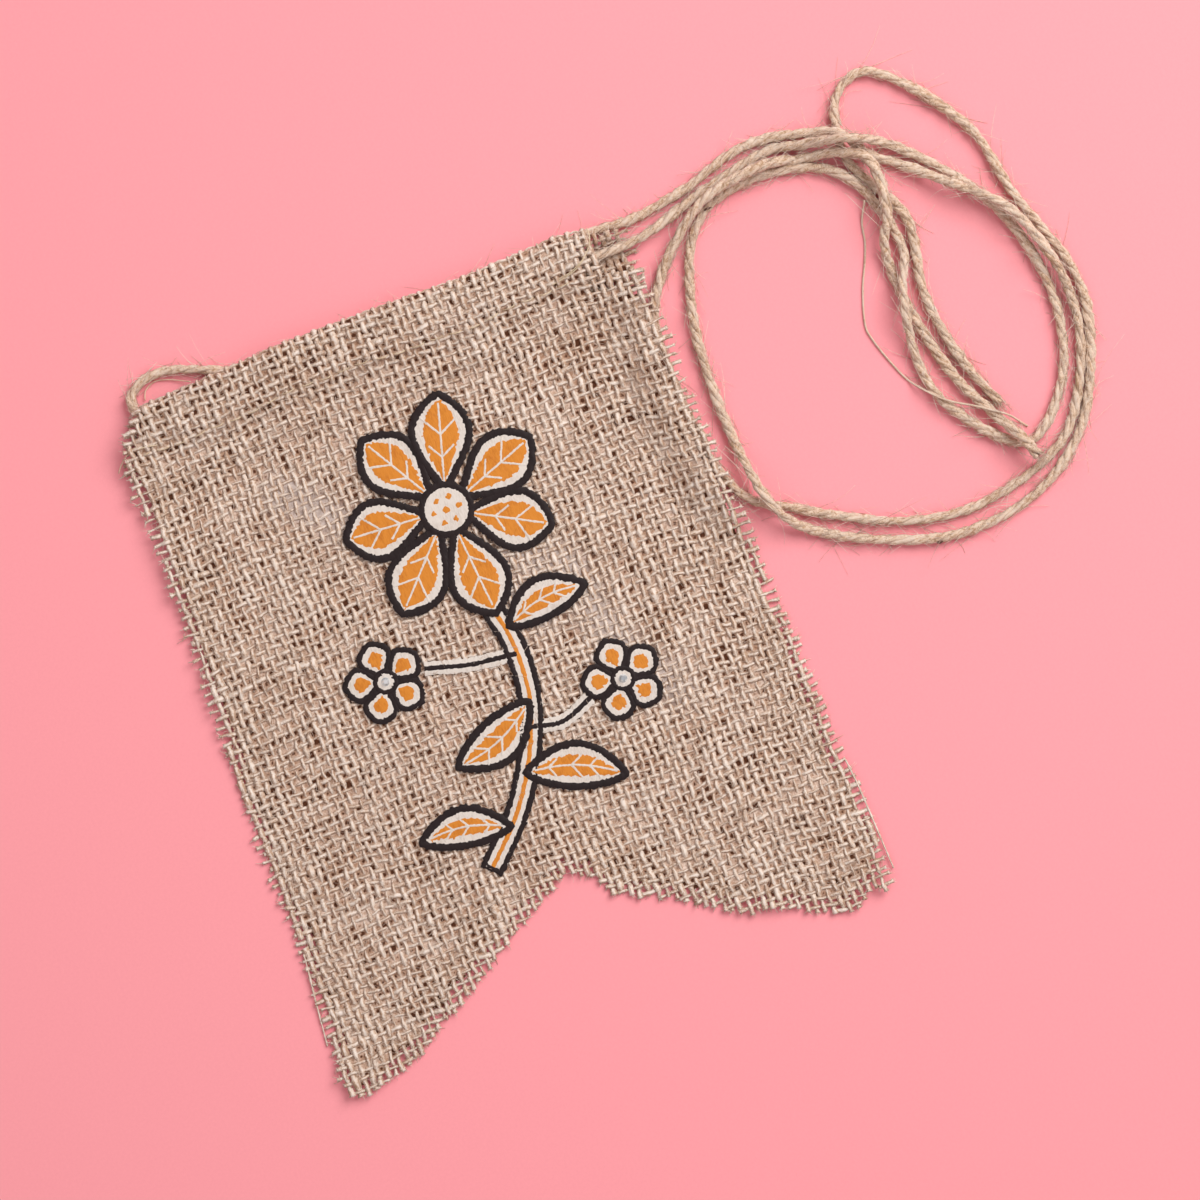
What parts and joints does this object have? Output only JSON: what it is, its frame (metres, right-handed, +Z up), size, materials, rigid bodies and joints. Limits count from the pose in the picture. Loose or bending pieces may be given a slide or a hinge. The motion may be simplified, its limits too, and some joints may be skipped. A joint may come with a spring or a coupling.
{
  "type": "hessian pennant garland piece on jute twine",
  "caption": "Small woven hessian pennant with a swallow tail, its top edge hemmed over a jute twine whose cut ends lie beside it in large loose loops.",
  "frame": {"origin": "middle of the cloth's box, on the surface that it lies on", "axes": "+Z up from the surface, +Y along the warp towards the hem, +X along the weft towards the loose twine"},
  "size_m": [0.2395, 0.1936, 0.009],
  "materials": {
    "hessian": "open plain-woven jute cloth",
    "jute_twine": "hairy three-ply jute twine",
    "print_ink": "matt printed ink on the cloth",
    "sewing_thread": "thin sewing thread",
    "crystal_glass": "cut clear glass with a silver back"
  },
  "bodies": {
    "root": {"flag": "hessian", "twine_in_hem": "jute_twine", "twine_left_loop": "jute_twine", "twine_tail_a": "jute_twine", "twine_tail_b": "jute_twine", "crystal_1": "crystal_glass", "crystal_2": "crystal_glass"}
  },
  "joints": []
}
